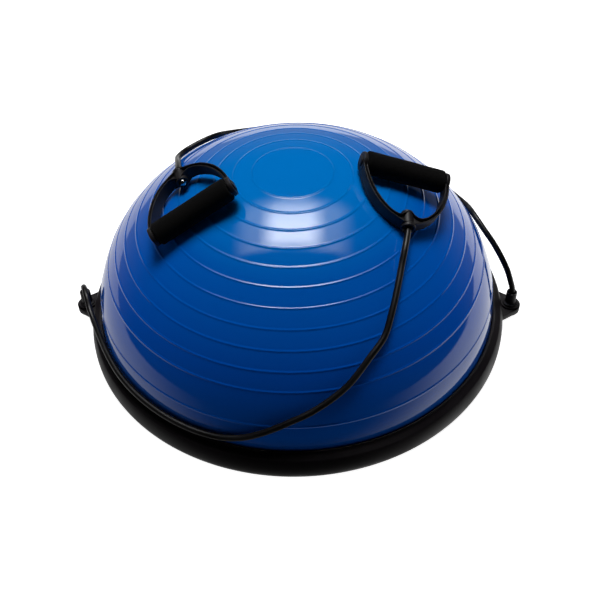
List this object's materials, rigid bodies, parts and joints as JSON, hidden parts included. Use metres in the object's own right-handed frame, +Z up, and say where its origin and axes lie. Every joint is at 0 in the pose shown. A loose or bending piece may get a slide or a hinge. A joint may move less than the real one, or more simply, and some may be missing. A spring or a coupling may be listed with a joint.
{
  "type": "balance dome trainer",
  "caption": "Air-filled blue dome clamped on a round black board, with elastic bands running from side lugs to foam-gripped D-handles.",
  "frame": {"origin": "on the floor, under the middle of the round board", "axes": "+Z up through the top of the dome; +X from the middle to the right band lug, with the user at -Y"},
  "size_m": [0.635, 0.58, 0.29],
  "materials": {
    "dome_vinyl": "glossy",
    "board_plastic": "satin",
    "handle_plastic": "satin",
    "band_rubber": "satin",
    "foam": "matte foam",
    "pad_rubber": "matte",
    "bright_steel": "polished"
  },
  "bodies": {
    "root": {"base_board": "board_plastic", "base_rim": "board_plastic", "bead_clamp_ring": "board_plastic", "dome_skin": "dome_vinyl", "dome_floor": "dome_vinyl", "valve_seat": "board_plastic", "foot_pad_1": "pad_rubber", "foot_pad_2": "pad_rubber", "foot_pad_3": "pad_rubber", "foot_pad_4": "pad_rubber", "foot_pad_5": "pad_rubber", "foot_pad_6": "pad_rubber", "base_screw_1": "bright_steel", "base_screw_2": "bright_steel", "base_screw_3": "bright_steel", "base_screw_4": "bright_steel", "base_screw_5": "bright_steel", "base_screw_6": "bright_steel", "base_screw_7": "bright_steel", "base_screw_8": "bright_steel", "left_band_stopper": "band_rubber", "right_band_stopper": "band_rubber", "left_band": "band_rubber", "right_band": "band_rubber"},
    "valve_plug_body": {"valve_plug": "board_plastic"},
    "left_collar_body": {"left_collar": "handle_plastic", "left_collar_clip": "handle_plastic"},
    "right_collar_body": {"right_collar": "handle_plastic", "right_collar_clip": "handle_plastic"},
    "left_handle": {"left_handle_frame": "handle_plastic", "left_grip_bar": "handle_plastic", "left_grip_cap_a": "handle_plastic", "left_grip_cap_b": "handle_plastic", "left_band_ball": "bright_steel"},
    "right_handle": {"right_handle_frame": "handle_plastic", "right_grip_bar": "handle_plastic", "right_grip_cap_a": "handle_plastic", "right_grip_cap_b": "handle_plastic", "right_band_ball": "bright_steel"},
    "left_grip": {"left_foam_grip": "foam", "left_grip_sleeve": "handle_plastic"},
    "right_grip": {"right_foam_grip": "foam", "right_grip_sleeve": "handle_plastic"}
  },
  "joints": [
    {"name": "left_handle_pull", "type": "slide", "parent": "root", "child": "left_handle", "axis": [0, 0, 1], "range_m": [0, 0.25], "deforming": ["right_band"]},
    {"name": "right_handle_pull", "type": "slide", "parent": "root", "child": "right_handle", "axis": [0, 0, 1], "range_m": [0, 0.25], "deforming": ["left_band"]},
    {"name": "left_grip_spin", "type": "hinge", "parent": "left_handle", "child": "left_grip", "pos_m": [-0.1195, -0.0682, 0.2526], "axis": [0.8441, 0.2989, 0.4451], "continuous": true},
    {"name": "right_grip_spin", "type": "hinge", "parent": "right_handle", "child": "right_grip", "pos_m": [0.1405, 0.0098, 0.2514], "axis": [-0.9318, -0.0714, 0.356], "continuous": true},
    {"name": "left_collar_swivel", "type": "hinge", "parent": "root", "child": "left_collar_body", "pos_m": [-0.303, 0, 0.03], "axis": [0, 0, 1], "continuous": true},
    {"name": "right_collar_swivel", "type": "hinge", "parent": "root", "child": "right_collar_body", "pos_m": [0.303, 0, 0.03], "axis": [0, 0, 1], "continuous": true},
    {"name": "valve_plug_pull", "type": "slide", "parent": "root", "child": "valve_plug_body", "axis": [0, 0.9881, 0.154], "range_m": [0, 0.018]}
  ]
}
